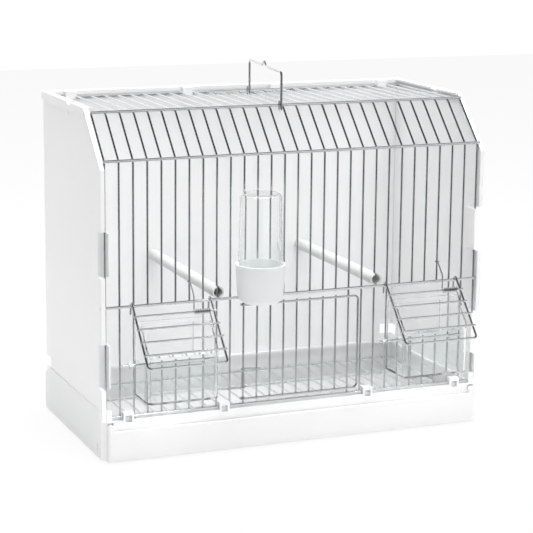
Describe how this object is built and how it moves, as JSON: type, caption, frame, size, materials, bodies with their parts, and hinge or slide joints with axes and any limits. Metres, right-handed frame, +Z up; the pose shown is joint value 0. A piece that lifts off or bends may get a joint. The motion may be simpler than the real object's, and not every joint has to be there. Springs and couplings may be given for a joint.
{
  "type": "bird show cage",
  "caption": "Small white show cage with a bent wire grille for front and roof, a spring door, spring flaps over clear feeders, a drinker, perches, a pull-out tray and a carrying handle.",
  "frame": {"origin": "middle of the whole cage's width and depth, at the height of the table it stands on", "axes": "+X to the right seen from the front, +Y to the back, +Z up; the door and the feeders face -Y"},
  "size_m": [0.3598, 0.2166, 0.3289],
  "materials": {
    "white_plastic": "smooth injection-moulded polystyrene",
    "tray_plastic": "smooth injection-moulded polystyrene",
    "perch_plastic": "satin extruded tube",
    "clear_plastic": "clear moulded polystyrene",
    "grille_wire": "drawn and plated, dark reflections",
    "floor_wire": "drawn and plated",
    "spring_wire": "drawn spring steel, plated",
    "handle_wire": "drawn and plated"
  },
  "bodies": {
    "cage": {"base_frame": "white_plastic", "left_panel": "white_plastic", "right_panel": "white_plastic", "back_panel": "white_plastic", "upper_grille": "grille_wire", "lower_grille": "grille_wire", "slope_grille": "grille_wire", "roof_grille": "grille_wire", "handle_bar": "grille_wire", "left_feeder": "clear_plastic", "right_feeder": "clear_plastic", "left_perch": "perch_plastic", "right_perch": "perch_plastic", "door_spring": "spring_wire"},
    "tray": {"tray": "tray_plastic", "floor_grille": "floor_wire"},
    "left_flap": {"left_flap": "grille_wire", "left_flap_spring": "spring_wire"},
    "right_flap": {"right_flap": "grille_wire", "right_flap_spring": "spring_wire"},
    "left_spring_arm": {"left_spring_arm": "spring_wire"},
    "right_spring_arm": {"right_spring_arm": "spring_wire"},
    "door": {"door": "grille_wire", "door_spring_arm": "spring_wire"},
    "drinker": {"drinker_cup": "white_plastic"},
    "drinker_tube": {"drinker_tube": "clear_plastic"},
    "handle": {"carry_handle": "handle_wire"}
  },
  "joints": [
    {"name": "left_flap_hinge", "type": "hinge", "parent": "cage", "child": "left_flap", "pos_m": [-0.11715, -0.06358, 0.1343], "axis": [-1, 0, 0], "range_deg": [0, 54], "stiffness_Nm_per_rad": 0.01, "springref_deg": -28.65},
    {"name": "right_flap_hinge", "type": "hinge", "parent": "cage", "child": "right_flap", "pos_m": [0.12035, -0.06358, 0.1343], "axis": [-1, 0, 0], "range_deg": [0, 54], "stiffness_Nm_per_rad": 0.01, "springref_deg": -28.65},
    {"name": "left_spring_slide", "type": "slide", "parent": "cage", "child": "left_spring_arm", "axis": [0, 0, 1], "range_m": [0, 0.01217]},
    {"name": "right_spring_slide", "type": "slide", "parent": "cage", "child": "right_spring_arm", "axis": [0, 0, 1], "range_m": [0, 0.01217]},
    {"name": "door_hinge", "type": "hinge", "parent": "cage", "child": "door", "pos_m": [-0.05, -0.06168, 0.085], "axis": [0, 0, 1], "range_deg": [-100, 0], "stiffness_Nm_per_rad": 0.012, "springref_deg": 20.05},
    {"name": "tray_slide", "type": "slide", "parent": "cage", "child": "tray", "axis": [0, -1, 0], "range_m": [0, 0.15]},
    {"name": "handle_fold", "type": "hinge", "parent": "cage", "child": "handle", "pos_m": [-0.0028, -0.02675, 0.29487], "axis": [0.1172, 0.9931, 0.007], "range_deg": [0, 55]},
    {"name": "drinker_pull", "type": "slide", "parent": "cage", "child": "drinker", "axis": [0, -1, 0], "range_m": [0, 0.04]},
    {"name": "tube_lift", "type": "slide", "parent": "drinker", "child": "drinker_tube", "axis": [0, 0, 1], "range_m": [0, 0.025]}
  ],
  "couplings": [
    {"joint": "left_spring_slide", "follows": "left_flap_hinge", "m_per_rad": 0.012697},
    {"joint": "right_spring_slide", "follows": "right_flap_hinge", "m_per_rad": 0.012697}
  ]
}
